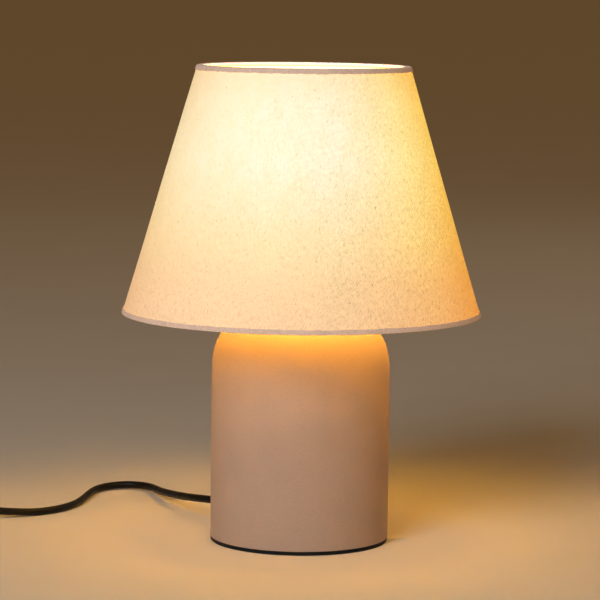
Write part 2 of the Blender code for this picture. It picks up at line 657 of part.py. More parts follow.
POWDER_COAT = material("powder_coat", (0.56, 0.47, 0.40), 0.62)
BLACK_RUBBER = material("black_rubber", (0.015, 0.015, 0.016), 0.75)
BLACK_STEEL = material("black_steel", (0.02, 0.02, 0.022), 0.5)
ZINC = material("zinc_plate", (0.62, 0.62, 0.60), 0.35, 1.0)
CAST_IRON = material("cast_iron", (0.10, 0.10, 0.10), 0.7, 0.6)
BRASS = material("brass", (0.72, 0.55, 0.27), 0.3, 1.0)
NICKEL = material("nickel", (0.70, 0.68, 0.63), 0.28, 1.0)
WHITE_PLASTIC = material("white_plastic", (0.82, 0.81, 0.78), 0.35)
BLACK_PLASTIC = material("black_plastic", (0.02, 0.02, 0.022), 0.38)
CERAMIC = material("ceramic", (0.86, 0.85, 0.81), 0.4)
WHITE_STEEL = material("white_steel", (0.84, 0.83, 0.80), 0.4)
WHITE_FILM = material("white_film", (0.90, 0.88, 0.82), 0.45)
LINEN = material("linen", (0.88, 0.80, 0.66), 0.9)
TRIM_TAPE = material("trim_tape", (0.72, 0.62, 0.52), 0.9)
OPAL_GLASS = material("opal_glass", (0.95, 0.90, 0.80), 0.3)
CLEAR_GLASS = material("clear_glass", (0.85, 0.88, 0.88), 0.05)
BLACK_GLASS = material("black_glass", (0.02, 0.02, 0.03), 0.15)
PHOSPHOR = material("phosphor", (0.85, 0.62, 0.15), 0.5)
BLACK_PVC = material("black_pvc", (0.018, 0.018, 0.020), 0.35)
BROWN_PVC = material("brown_pvc", (0.16, 0.07, 0.03), 0.45)
BLUE_PVC = material("blue_pvc", (0.04, 0.14, 0.42), 0.45)
BLACK_TIE = material("black_tie", (0.03, 0.03, 0.032), 0.85)

build_foot()
BALLAST_TOP = build_ballast()
build_shell()
build_cord_entry(BALLAST_TOP)
build_nipple()
build_holder()
build_shade_ring()
build_bulb()
build_shade()
build_lamp_side_cord()
build_switch()
build_plug_side_cord()
build_tie()
build_plug()
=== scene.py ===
"""The looks of the table lamp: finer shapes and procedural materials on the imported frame.

Metres, in the CAD's frame: the lamp's axis is Z, and the surface that it stands on is z = 0.
"""
import json
import math

import bmesh
import bpy
from mathutils import Matrix, Vector, noise


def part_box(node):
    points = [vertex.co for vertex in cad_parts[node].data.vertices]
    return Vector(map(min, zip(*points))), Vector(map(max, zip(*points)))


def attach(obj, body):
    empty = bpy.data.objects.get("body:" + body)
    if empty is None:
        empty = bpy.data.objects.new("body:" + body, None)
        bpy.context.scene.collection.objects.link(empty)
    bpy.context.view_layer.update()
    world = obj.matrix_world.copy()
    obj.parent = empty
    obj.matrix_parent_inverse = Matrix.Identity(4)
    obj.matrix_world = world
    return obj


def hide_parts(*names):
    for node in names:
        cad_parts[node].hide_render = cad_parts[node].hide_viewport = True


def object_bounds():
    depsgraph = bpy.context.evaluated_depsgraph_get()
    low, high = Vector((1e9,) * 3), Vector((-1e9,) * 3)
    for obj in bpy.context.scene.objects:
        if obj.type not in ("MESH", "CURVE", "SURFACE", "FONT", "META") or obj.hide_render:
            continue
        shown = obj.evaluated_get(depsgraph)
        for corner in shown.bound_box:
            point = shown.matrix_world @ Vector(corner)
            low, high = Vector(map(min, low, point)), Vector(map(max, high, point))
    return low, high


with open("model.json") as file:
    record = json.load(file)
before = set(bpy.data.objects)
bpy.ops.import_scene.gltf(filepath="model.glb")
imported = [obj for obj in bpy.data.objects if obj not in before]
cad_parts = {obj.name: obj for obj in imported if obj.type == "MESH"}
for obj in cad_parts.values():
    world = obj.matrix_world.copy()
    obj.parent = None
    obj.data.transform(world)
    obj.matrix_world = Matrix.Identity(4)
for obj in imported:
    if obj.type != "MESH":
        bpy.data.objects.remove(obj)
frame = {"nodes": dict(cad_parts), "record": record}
NODES = frame["nodes"]
cad_low, cad_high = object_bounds()

# ---------------------------------------------------------------- dimensions, as in the CAD
BASE_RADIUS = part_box("base_shell")[1].x
BASE_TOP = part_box("base_shell")[1].z
SHELL_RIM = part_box("base_shell")[0].z
SHELL_WALL = 0.0012
SHOULDER_HEIGHT = 0.052
SHOULDER_WIDTH = 0.040
SHOULDER_POWER = 2.55             # of the superellipse that rounds the shoulder
NIPPLE_BORE = 0.0054              # radius of the hole in the top of the shell

SHADE_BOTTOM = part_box("bottom_trim")[0].z
SHADE_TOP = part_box("top_trim")[1].z
SHADE_BOTTOM_RADIUS = 0.151
SHADE_TOP_RADIUS = 0.0895
CLOTH_IN = 0.0008                 # from the shade's outer cone to each layer's outer face
LINING_IN = 0.0017
HEM_IN = 0.00575
LINING_FILM = 0.0003              # thicknesses
TAPE = 0.0005
HEM_HEIGHT = 0.0045               # of the tape's leg over the cloth

CORD_RADIUS = 0.00325
CORD_DIAMETER = 2 * CORD_RADIUS
CORD_ON_TABLE = 0.0033
ROUTE_STEP = 0.003
EXIT_AZIMUTH = 138
EXIT_HEIGHT = 0.020
EXIT_FLANGE = 0.0754              # from the lamp's axis to the strain relief's flange and tip
EXIT_TIP = 0.0965
SWITCH_CENTRE = Vector((-0.310, 0.073, 0.0081))
SWITCH_HALF = 0.033
SWITCH_INLET = SWITCH_HALF - 0.006
SWITCH_WINDOW = (0.0210, 0.0104, 0.0110)
COIL_CENTRE = Vector((-0.328, 0.144, 0.0))
COIL_LOW = 0.0042                 # centre line of the turns that lie on the table
COIL_OUTER = 0.0445               # radii of the turns on the table and of those on top of them
COIL_MIDDLE = 0.0380
COIL_INNER = 0.0315
COIL_TOP_OUTER = 0.04125
COIL_TOP_INNER = 0.03475
PLUG_START = Vector((-0.3725, 0.184, 0.0072))
PLUG_RELIEF_LENGTH = 0.024
PLUG_LENGTH = 0.036
PIN_SLEEVE = 0.0105

BULB_CENTRE = 0.297
BULB_RADIUS = 0.030
SCREW_CAP_RADIUS = 0.0126         # of each thread's middle
SCREW_CAP_PITCH = 0.0036286
SKIRT_THREAD_RADIUS = 0.0191
SKIRT_THREAD_PITCH = 0.0021

# The lead's centre line: down from the strain relief, then along the table to the switch.
LAMP_SIDE_ROUTE = [
    (-0.0818, 0.0752, 0.0192),
    (-0.0909, 0.0866, 0.0180),
    (-0.0984, 0.0991, 0.0165),
    (-0.1046, 0.1123, 0.0150),
    (-0.1100, 0.1259, 0.0134),
    (-0.1148, 0.1396, 0.0117),
    (-0.1194, 0.1535, 0.0102),
    (-0.1238, 0.1674, 0.0087),
    (-0.1280, 0.1813, 0.0075),
    (-0.1311, 0.1923, 0.0066),
    (-0.1343, 0.2025, 0.0059),
    (-0.1391, 0.2121, 0.0053),
    (-0.1470, 0.2196, 0.0050),
    (-0.1573, 0.2234, 0.0048),
    (-0.1682, 0.2226, 0.0044),
    (-0.1779, 0.2174, 0.0039),
    (-0.1848, 0.2089, 0.0035),
    (-0.1885, 0.1986, CORD_ON_TABLE),
    (-0.1911, 0.1834, CORD_ON_TABLE),
    (-0.1932, 0.1684, CORD_ON_TABLE),
    (-0.1953, 0.1533, CORD_ON_TABLE),
    (-0.1982, 0.1385, CORD_ON_TABLE),
    (-0.2028, 0.1240, CORD_ON_TABLE),
    (-0.2097, 0.1105, CORD_ON_TABLE),
    (-0.2191, 0.0985, 0.0034),
    (-0.2307, 0.0887, 0.0037),
    (-0.2440, 0.0814, 0.0048),
    (-0.2583, 0.0765, 0.0062),
]
# From the switch into the coil, and out of it to the plug.
COIL_IN_ROUTE = [
    (-0.3620, 0.0768, 0.0067),
    (-0.3722, 0.0870, 0.0053),
    (-0.3761, 0.1010, 0.0045),
    (-0.3762, 0.1210, 0.0042),
    (-0.3746, 0.1325, 0.0042),
]
COIL_OUT_ROUTE = [
    (-0.3702, 0.1530, 0.0105),
    (-0.3716, 0.1640, 0.0096),
    (-0.3724, 0.1750, 0.0080),
]


# ---------------------------------------------------------------- tools
def smoothstep(low, high, x):
    """From 0 at low to 1 at high, with level ends."""
    t = min(1.0, max(0.0, (x - low) / (high - low)))
    return t * t * (3 - 2 * t)


def smooth_route(points, spacing):
    """Evenly spaced points on the smooth curve (Catmull-Rom) through the given ones."""
    knots = [Vector(p) for p in points]
    knots = [2 * knots[0] - knots[1], *knots, 2 * knots[-1] - knots[-2]]
    fine = []
    steps = 16
    for a, b, c, d in zip(knots, knots[1:], knots[2:], knots[3:]):
        for step in range(steps):
            t = step / steps
            fine.append(0.5 * (2 * b + (c - a) * t + (2 * a - 5 * b + 4 * c - d) * t ** 2
                               + (3 * b - a - 3 * c + d) * t ** 3))
    fine.append(knots[-2])
    travel = [0.0]
    for a, b in zip(fine, fine[1:]):
        travel.append(travel[-1] + (b - a).length)
    count = max(2, round(travel[-1] / spacing))
    route = []
    near = 0
    for i in range(count + 1):
        target = travel[-1] * i / count
        while near < len(travel) - 2 and travel[near + 1] < target:
            near += 1
        share = (target - travel[near]) / (travel[near + 1] - travel[near])
        route.append(fine[near].lerp(fine[near + 1], share))
    return route


def around(azimuth, radius=0.0, height=0.0):
    """A place at an azimuth, in degrees from +X, whose own X points outward."""
    turn = Matrix.Rotation(math.radians(azimuth), 4, "Z")
    return turn @ Matrix.Translation((radius, 0.0, height))


ALONG_X = Matrix.Rotation(math.radians(90), 4, "Y")
ALONG_Y = Matrix.Rotation(math.radians(-90), 4, "X")


def piece(name, mesh, material, body, replaced=(), sharp=35):
    """Adds a piece to the scene, smooth shaded, riding on its body in the CAD nodes' stead."""
    mesh.shade_smooth()
    mesh.set_sharp_from_angle(angle=math.radians(sharp))
    mesh.materials.clear()
    mesh.materials.append(material)
    obj = bpy.data.objects.new(name, mesh)
    bpy.context.scene.collection.objects.link(obj)
    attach(obj, body)
    if replaced:
        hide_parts(*replaced)
    return obj


def mesh_from(name, rows, faces, place, merge=False):
    """A mesh of the points in rows, put in place, with its faces turned outward."""
    points = [Vector(p) for row in rows for p in row]
    if place is not None:
        points = [place @ p for p in points]
    mesh = bpy.data.meshes.new(name)
    mesh.from_pydata(points, [], faces)
    work = bmesh.new()
    work.from_mesh(mesh)
    if merge:
        bmesh.ops.remove_doubles(work, verts=work.verts, dist=1e-6)
    bmesh.ops.recalc_face_normals(work, faces=work.faces)
    work.to_mesh(mesh)
    work.free()
    return mesh


def grid_mesh(name, rows, wrap_rows, wrap_columns, place=None):
    """A mesh from rows of points; rows or columns may close on themselves."""
    height, width = len(rows), len(rows[0])
    faces = []
    for i in range(height if wrap_rows else height - 1):
        for j in range(width if wrap_columns else width - 1):
            k, m = (i + 1) % height, (j + 1) % width
            faces.append((i * width + j, i * width + m, k * width + m, k * width + j))
    return mesh_from(name, rows, faces, place, merge=True)


def turned_mesh(name, outline, segments=96, closed=True, place=None, shape=None):
    """A turned piece from (radius, height) points; shape(radius, height, angle) may alter them."""
    rows = []
    for i in range(segments):
        angle = 2 * math.pi * i / segments
        row = []
        for radius, height in outline:
            r, z = shape(radius, height, angle) if shape else (radius, height)
            row.append((r * math.cos(angle), r * math.sin(angle), z))
        rows.append(row)
    return grid_mesh(name, rows, True, closed, place)


def loft_mesh(name, rings, place=None):
    """A closed form through rings of points, with its two ends filled."""
    count = len(rings[0])
    faces = [tuple(range(count))[::-1], tuple((len(rings) - 1) * count + i for i in range(count))]
    for k in range(len(rings) - 1):
        for i in range(count):
            j = (i + 1) % count
            faces.append((k * count + i, k * count + j, (k + 1) * count + j, (k + 1) * count + i))
    return mesh_from(name, rings, faces, place)


def with_window(mesh, place, size):
    """The mesh with a box of that size cut out of it, and no modifier left on it."""
    window = bpy.data.meshes.new("window")
    work = bmesh.new()
    bmesh.ops.create_cube(work, size=1.0, matrix=place @ Matrix.Diagonal((*size, 1.0)))
    work.to_mesh(window)
    work.free()
    holder = bpy.data.objects.new("holder", mesh)
    cutter = bpy.data.objects.new("window", window)
    for obj in (holder, cutter):
        bpy.context.scene.collection.objects.link(obj)
    boolean = holder.modifiers.new("Window", "BOOLEAN")
    boolean.operation = "DIFFERENCE"
    boolean.solver = "EXACT"
    boolean.object = cutter
    bpy.context.view_layer.update()
    graph = bpy.context.evaluated_depsgraph_get()
    made = bpy.data.meshes.new_from_object(holder.evaluated_get(graph))
    for obj in (holder, cutter):
        bpy.data.objects.remove(obj, do_unlink=True)
    return made


# ---------------------------------------------------------------- materials
class Material:
    """A Principled material: what varies over the surface is linked, the rest set on the shader."""

    def __init__(self, name, color, roughness, **sockets):
        self.material = bpy.data.materials.new(name)
        self.material.use_nodes = True
        self.tree = self.material.node_tree
        self.shader = self.tree.nodes["Principled BSDF"]
        self.set("Base Color", (*color, 1.0))
        self.set("Roughness", roughness)
        for socket, value in sockets.items():
            self.set(socket.replace("_", " "), value)
        self.place = self.add("TexCoord").outputs["Object"]

    def set(self, name, value):
        """Sets or links one socket of the shader."""
        if isinstance(value, bpy.types.NodeSocket):
            self.tree.links.new(value, self.shader.inputs[name])
        else:
            self.shader.inputs[name].default_value = value

    def add(self, kind, inputs=None, **settings):
        made = self.tree.nodes.new("ShaderNode" + kind)
        for name, value in settings.items():
            setattr(made, name, value)
        for name, value in (inputs or {}).items():
            if isinstance(value, bpy.types.NodeSocket):
                self.tree.links.new(value, made.inputs[name])
            else:
                made.inputs[name].default_value = value
        return made

    def math(self, operation, a, b=0.0, c=0.0):
        return self.add("Math", {0: a, 1: b, 2: c}, operation=operation).outputs[0]

    def noise(self, scale, detail=2.0, stretch=None, vector=None):
        vector = self.place if vector is None else vector
        if stretch is not None:
            vector = self.add("Mapping", {"Vector": vector, "Scale": stretch}).outputs[0]
        return self.add("TexNoise", {"Vector": vector, "Scale": scale, "Detail": detail}).outputs[0]

    def split(self, vector=None):
        """The x, y and z of a vector, or of the place on the surface."""
        made = self.add("SeparateXYZ", {0: self.place if vector is None else vector})
        return made.outputs[0], made.outputs[1], made.outputs[2]

    def reach(self, x, y):
        """How far from the lamp's axis."""
        squares = self.math("ADD", self.math("POWER", x, 2.0), self.math("POWER", y, 2.0))
        return self.math("SQRT", squares)

    def share_of_shade(self, z):
        """How far up the shade, from 0 to 1."""
        return self.remap(z, SHADE_BOTTOM, SHADE_TOP)

    def remap(self, value, low, high, to_low=0.0, to_high=1.0, smooth=False):
        made = self.add("MapRange", {"Value": value, "From Min": low, "From Max": high,
                                     "To Min": to_low, "To Max": to_high})
        made.interpolation_type = "SMOOTHSTEP" if smooth else "LINEAR"
        return made.outputs["Result"]

    def ramp(self, factor, stops):
        made = self.add("ValToRGB", {"Fac": factor})
        elements = made.color_ramp.elements
        while len(elements) < len(stops):
            elements.new(0.5)
        for element, (position, color) in zip(elements, stops):
            element.position = position
            element.color = (*color, 1.0)
        return made.outputs["Color"]

    def mix(self, factor, a, b, blend="MIX"):
        def color(value):
            return value if isinstance(value, bpy.types.NodeSocket) else (*value, 1.0)
        made = self.add("Mix", {0: factor, 6: color(a), 7: color(b)}, data_type="RGBA",
                        blend_type=blend)
        return made.outputs[2]

    def scaled(self, color, value):
        """A colour, or a socket that gives one, times a value."""
        color = color if isinstance(color, bpy.types.NodeSocket) else Vector(color)
        return self.add("VectorMath", {0: color, "Scale": value}, operation="SCALE").outputs[0]

    def bump(self, height, strength, distance):
        made = self.add("Bump", {"Height": height, "Strength": strength, "Distance": distance})
        self.set("Normal", made.outputs["Normal"])


def weave(m, x, y, pitch):
    """A plain weave's height, from 0 to 1, at flat coordinates x and y."""
    turn = 2 * math.pi / pitch
    across = m.math("SINE", m.math("MULTIPLY", x, turn))
    along = m.math("SINE", m.math("MULTIPLY", y, turn))
    return m.math("MULTIPLY_ADD", m.math("MULTIPLY", across, along), 0.5, 0.5)


def slanted(m, x, y, lean, pitch):
    """Fine slanted lines at flat coordinates x and y, from -1 to 1."""
    turn = 2 * math.pi / (pitch * math.hypot(1.0, lean))
    return m.math("SINE", m.math("MULTIPLY", m.math("MULTIPLY_ADD", y, lean, x), turn))


def plain(name, color, roughness, grain=900.0, tone=0.10, depth=0.00004, **sockets):
    """Moulded, cast or painted: a faint unevenness of colour and a fine surface grain."""
    m = Material(name, color, roughness, **sockets)
    mottle = m.noise(60.0, 4.0)
    fine = m.noise(grain, 3.0)
    m.set("Base Color", m.scaled(color, m.remap(mottle, 0.3, 0.7, 1 - tone, 1 + tone)))
    m.set("Roughness", m.remap(fine, 0.3, 0.7, roughness * 0.88, min(1.0, roughness * 1.12)))
    m.bump(fine, 0.35, depth)
    return m.material


def brushed(name, color, roughness, stretch=(400.0, 400.0, 30.0), depth=0.00002):
    """Metal with fine lines along one direction and darker stains."""
    m = Material(name, color, roughness, Metallic=1.0)
    lines = m.noise(1.0, 3.0, stretch=stretch)
    stain = m.noise(90.0, 4.0)
    m.set("Base Color", m.scaled(color, m.remap(stain, 0.35, 0.75, 1.05, 0.82)))
    m.set("Roughness", m.remap(lines, 0.3, 0.7, roughness * 0.75, roughness * 1.3))
    m.bump(lines, 0.4, depth)
    return m.material


def linen():
    """The shade's cloth, with the light from inside painted on as a glow: a plain weave of uneven
    yarns, with slubs and flecks.

    The cloth attribute holds the cloth's own flat coordinates, so the yarns run as they do on a
    sheet cut flat and wrapped into a cone.
    """
    color = (0.80, 0.74, 0.64)
    weave_pitch, twill_pitch = 0.0013, 0.00205
    drift_reach = 0.0007
    m = Material("linen_cloth", color, 0.9, Sheen_Weight=0.25, Sheen_Roughness=0.5,
                 Specular_IOR_Level=0.2)
    flat = m.add("Attribute", attribute_name="cloth").outputs["Vector"]
    drift = m.remap(m.noise(55.0, 2.0, vector=flat), 0.0, 1.0, -drift_reach, drift_reach)
    flat = m.add("VectorMath", {0: flat, 1: m.add("CombineXYZ", {0: drift, 1: drift}).outputs[0]},
                 operation="ADD").outputs[0]
    x, y, _ = m.split(flat)
    warp = m.noise(1.0, 2.0, stretch=(880.0, 230.0, 1.0), vector=flat)
    weft = m.noise(1.0, 2.0, stretch=(250.0, 880.0, 1.0), vector=flat)
    warp_slub = m.noise(1.0, 1.0, stretch=(420.0, 60.0, 1.0), vector=flat)
    weft_slub = m.noise(1.0, 1.0, stretch=(70.0, 470.0, 1.0), vector=flat)
    fleck = m.noise(1.0, 1.0, stretch=(560.0, 400.0, 1.0), vector=flat)
    cloud = m.noise(13.0, 3.0)
    knit = weave(m, x, y, weave_pitch)

    # Slanted lines, in patches that lean one way or the other.
    patches = m.noise(42.0, 2.0, vector=flat)
    twill = m.math("MULTIPLY", slanted(m, x, y, -0.23, twill_pitch),
                   m.remap(patches, 0.48, 0.64, 0.0, 0.10, True))
    twill = m.math("MULTIPLY_ADD", slanted(m, x, y, 1.07, twill_pitch),
                   m.remap(patches, 0.52, 0.38, 0.0, 0.10, True), twill)

    # How much light comes through, about 1.
    through = m.remap(warp, 0.25, 0.75, -0.17, 0.17)
    for part in (m.remap(weft, 0.25, 0.75, -0.12, 0.12),
                 m.remap(knit, 0.0, 1.0, 0.08, -0.08),
                 twill,
                 m.remap(warp_slub, 0.64, 0.78, 0.0, -0.12),
                 m.remap(weft_slub, 0.66, 0.80, 0.0, -0.08),
                 m.remap(cloud, 0.3, 0.7, 0.97, 1.03)):
        through = m.math("ADD", through, part)

    # The painted glow's colour up the shade, then from one side of it to the other: painted light,
    # weaker on one side, and there the weave shows more strongly.
    place_x, place_y, place_z = m.split()
    height = m.share_of_shade(place_z)
    glow = m.ramp(height, [(0.0, (0.53, 0.235, 0.035)), (0.18, (0.58, 0.30, 0.058)),
                           (0.33, (0.61, 0.40, 0.12)), (0.48, (0.64, 0.48, 0.23)),
                           (0.66, (0.66, 0.56, 0.37)), (0.85, (0.66, 0.545, 0.34)),
                           (1.0, (0.64, 0.45, 0.21))])
    across = m.math("DIVIDE", place_x, m.reach(place_x, place_y))
    deeper = m.math("MULTIPLY", m.remap(across, -0.2, 0.8, 1.0, 1.6, smooth=True),
                    m.remap(height, 0.3, 0.75, 1.0, 0.66))
    through = m.math("MULTIPLY_ADD", m.math("SUBTRACT", through, 1.0), deeper, 1.0)
    through = m.math("ADD", through, m.remap(fleck, 0.67, 0.76, 0.0, -0.40))
    sides = m.ramp(m.remap(across, -1.0, 1.0), [
        (0.0, (0.95, 0.82, 0.50)), (0.125, (0.96, 0.89, 0.74)), (0.25, (0.99, 0.965, 0.89)),
        (0.35, (1.0, 0.99, 0.99)), (0.625, (1.0, 1.0, 1.0)), (0.75, (1.08, 0.99, 0.70)),
        (0.875, (1.22, 1.09, 0.47)), (1.0, (1.40, 1.0, 0.18))])
    glow = m.mix(1.0, glow, sides, "MULTIPLY")
    blotch = m.noise(1.0, 3.0, stretch=(85.0, 42.0, 1.0), vector=flat)
    tint = m.mix(m.remap(blotch, 0.33, 0.67), (1.04, 1.04, 1.12), (0.96, 0.96, 0.87))
    glow = m.mix(1.0, glow, tint, "MULTIPLY")
    m.set("Emission Color", m.scaled(glow, through))
    m.set("Emission Strength", 1.0)

    dark = m.math("MULTIPLY_ADD", through, 0.8, 0.2)
    m.set("Base Color", m.scaled(color, dark))
    yarns = m.math("ADD", warp, weft)
    m.bump(m.math("ADD", m.math("MULTIPLY", knit, 0.6), yarns), 0.55, 0.00025)
    return m.material


def lining():
    """The white film inside the shade, lit by the bulb, and toward the top a painted glow for the
    light on it.
    """
    color = (0.92, 0.89, 0.83)
    m = Material("lining_film", color, 0.42, Specular_IOR_Level=0.35)
    height = m.share_of_shade(m.split()[2])
    m.set("Emission Color", m.ramp(height, [(0.0, (0.0, 0.01, 0.03)), (0.5, (0.0, 0.02, 0.06)),
                                            (0.65, (0.03, 0.06, 0.18)), (0.85, (0.20, 0.28, 0.50)),
                                            (1.0, (0.40, 0.50, 0.66))]))
    m.set("Emission Strength", 1.0)
    cloth = m.noise(1.0, 2.0, stretch=(500.0, 500.0, 120.0))
    m.set("Base Color", m.scaled(color, m.remap(cloth, 0.3, 0.7, 0.96, 1.03)))
    m.bump(cloth, 0.2, 0.0001)
    return m.material


def tape(name, color, glow=(0.0, 0.0, 0.0), inner_glow=None):
    """Woven cotton tape folded over an edge: fine ribs across it and fuzzy, uneven wear.

    glow is painted light: the bulb's light through the tape. inner_glow is the painted glow of the
    top tape's inner face, which the bulb lights like the lining.
    """
    ribs_round, row_pitch = 640.0, 0.0011
    m = Material(name, color, 0.95, Sheen_Weight=0.3, Sheen_Roughness=0.5, Specular_IOR_Level=0.15,
                 Emission_Color=(*glow, 1.0), Emission_Strength=1.0)
    x, y, z = m.split()
    if inner_glow is not None:
        edge = SHADE_TOP_RADIUS - HEM_IN
        inside = m.remap(m.reach(x, y), edge + 0.0008, edge - 0.0002, smooth=True)
        m.set("Emission Color", m.mix(inside, glow, inner_glow))
    angle = m.math("ARCTAN2", y, x)
    ribs = m.math("SINE", m.math("MULTIPLY", angle, ribs_round))
    rows = m.math("SINE", m.math("MULTIPLY", z, 2 * math.pi / row_pitch))
    fuzz = m.noise(700.0, 3.0)
    worn = m.noise(75.0, 4.0)
    height = m.math("MULTIPLY_ADD", m.math("MULTIPLY", ribs, rows), 0.25, fuzz)
    tone = m.math("ADD", m.remap(fuzz, 0.3, 0.7, -0.12, 0.12), m.remap(worn, 0.3, 0.7, 0.92, 1.07))
    m.set("Base Color", m.scaled(color, tone))
    m.bump(height, 0.6, 0.0003)
    return m.material


def powder_coat():
    """Matte powder coat with a fine sanded texture and a barely uneven tone."""
    color = (0.505, 0.380, 0.315)
    m = Material("powder_coat", color, 0.6, Specular_IOR_Level=0.35)
    grain = m.noise(2100.0, 3.0)
    peel = m.noise(420.0, 2.0)
    mottle = m.noise(34.0, 5.0)
    tone = m.math("ADD", m.remap(mottle, 0.3, 0.7, 0.968, 1.032),
                  m.remap(grain, 0.3, 0.7, -0.13, 0.13))
    m.set("Base Color", m.scaled(color, tone))
    m.set("Roughness", m.remap(grain, 0.3, 0.7, 0.54, 0.68))
    m.bump(m.math("MULTIPLY_ADD", peel, 0.8, grain), 0.42, 0.00026)
    return m.material


def opal():
    """The lit bulb: an opal envelope, brightest across its middle, dimmer at its neck."""
    m = Material("opal_glass", (0.93, 0.90, 0.84), 0.18, Coat_Weight=0.6, Coat_Roughness=0.05)
    neck, middle = 0.248, 0.285
    height = m.remap(m.split()[2], neck, middle, smooth=True)
    m.set("Emission Color", m.mix(height, (0.70, 0.28, 0.006), (1.0, 0.475, 0.006)))
    m.set("Emission Strength", 50.0)
    return m.material


def pvc(name, color, roughness=0.36):
    """Smooth extruded sheath, a little dusty, with faint flow lines."""
    m = Material(name, color, roughness, Specular_IOR_Level=0.22)
    dusty = tuple(c + 0.010 for c in color)
    dust = m.noise(120.0, 5.0)
    m.set("Base Color", m.mix(m.remap(dust, 0.50, 0.80, 0.0, 0.35), color, dusty))
    m.set("Roughness", m.remap(dust, 0.3, 0.7, roughness * 0.85, roughness * 1.25))
    m.bump(m.noise(1500.0, 2.0), 0.25, 0.00005)
    return m.material


def sleeved_pin():
    """A plug pin: bright nickel at its tip, and a black insulating sleeve next to the body."""
    bright, black = (0.72, 0.70, 0.66), (0.02, 0.02, 0.022)
    sleeve_end = PLUG_START.y + PLUG_RELIEF_LENGTH + PLUG_LENGTH + PIN_SLEEVE
    m = Material("sleeved_pin", bright, 0.25)
    metal = m.math("GREATER_THAN", m.split()[1], sleeve_end)
    lines = m.noise(1.0, 2.0, stretch=(900.0, 60.0, 900.0))
    m.set("Base Color", m.mix(metal, black, bright))
    m.set("Metallic", metal)
    m.set("Roughness", m.remap(lines, 0.3, 0.7, 0.2, 0.36))
    return m.material


TAPE_COLOR = (0.78, 0.615, 0.55)

POWDER_COAT = powder_coat()
LINEN = linen()
LINING = lining()
# Their glow is painted light from the bulb coming through the tape.
TAPE_CLOTH = tape("trim_tape", TAPE_COLOR, glow=(0.18, 0.088, 0.036))
TOP_TAPE_CLOTH = tape("top_trim_tape", TAPE_COLOR, glow=(0.16, 0.078, 0.036),
                      inner_glow=(0.40, 0.50, 0.62))
OPAL = opal()
PVC = pvc("black_pvc", (0.004, 0.0038, 0.0042), 0.42)
BLACK_PLASTIC = plain("black_plastic", (0.018, 0.018, 0.019), 0.42, grain=1400.0, depth=0.00003)
RUBBER = plain("black_rubber", (0.006, 0.006, 0.0065), 0.8, grain=1100.0, depth=0.00008)
BLACK_STEEL = plain("black_steel", (0.008, 0.008, 0.0085), 0.5, Specular_IOR_Level=0.3)
WHITE_PLASTIC = plain("white_plastic", (0.80, 0.79, 0.76), 0.34, tone=0.03, Coat_Weight=0.1)
WHITE_STEEL = plain("white_steel", (0.82, 0.81, 0.78), 0.38, tone=0.04, grain=600.0)
CERAMIC = plain("ceramic", (0.84, 0.83, 0.79), 0.5, tone=0.04, grain=700.0)
CAST_IRON = plain("cast_iron", (0.09, 0.088, 0.085), 0.7, tone=0.25, grain=500.0, depth=0.0003,
                  Metallic=0.6)
ZINC = brushed("zinc_plate", (0.60, 0.60, 0.58), 0.38)
BRASS = brushed("brass", (0.74, 0.55, 0.26), 0.3)
NICKEL = brushed("nickel", (0.70, 0.68, 0.63), 0.26, stretch=(60.0, 60.0, 900.0))
CLEAR_GLASS = plain("clear_glass", (0.85, 0.88, 0.88), 0.06, tone=0.02, Transmission_Weight=0.9)
BLACK_GLASS = plain("black_glass", (0.02, 0.02, 0.03), 0.12, Coat_Weight=0.5)
PHOSPHOR = plain("phosphor", (0.85, 0.62, 0.15), 0.5, Emission_Color=(1.0, 0.6, 0.25, 1.0),
                 Emission_Strength=20.0)
BROWN_PVC = pvc("brown_pvc", (0.15, 0.06, 0.03), 0.45)
BLUE_PVC = pvc("blue_pvc", (0.04, 0.13, 0.40), 0.45)
TIE_CLOTH = tape("black_tie", (0.022, 0.022, 0.024))
PIN = sleeved_pin()

BY_SLOT = {
    "powder_coat": POWDER_COAT, "black_rubber": RUBBER, "black_steel": BLACK_STEEL,
    "zinc_plate": ZINC, "cast_iron": CAST_IRON, "brass": BRASS, "nickel": NICKEL,
    "white_plastic": WHITE_PLASTIC, "black_plastic": BLACK_PLASTIC, "ceramic": CERAMIC,
    "white_steel": WHITE_STEEL, "white_film": LINING, "linen": LINEN, "trim_tape": TAPE_CLOTH,
    "opal_glass": OPAL, "clear_glass": CLEAR_GLASS, "black_glass": BLACK_GLASS,
    "phosphor": PHOSPHOR, "black_pvc": PVC, "brown_pvc": BROWN_PVC, "blue_pvc": BLUE_PVC,
    "black_tie": TIE_CLOTH,
}
for row in frame["record"]["subparts"]:
    slots = NODES[row["node"]].data.materials
    slots.clear()
    slots.append(PIN if row["node"].startswith("plug_pin") else BY_SLOT[row["material_slot"]])


# ---------------------------------------------------------------- camera, light and floor
def add_camera():
    data = bpy.data.cameras.new("camera")
    data.lens = 174.5
    data.sensor_width = 36.0
    data.clip_end = 200.0
    camera = bpy.data.objects.new("camera", data)
    yaw, pitch, roll = 0.0005, 0.1123, 0.0110
    camera.matrix_world = (Matrix.Translation((0.0, -2.427, 0.4770))
                           @ Matrix.Rotation(yaw, 4, "Z")
                           @ Matrix.Rotation(math.pi / 2 - pitch, 4, "X")
                           @ Matrix.Rotation(roll, 4, "Z"))
    bpy.context.scene.collection.objects.link(camera)
    bpy.context.scene.camera = camera


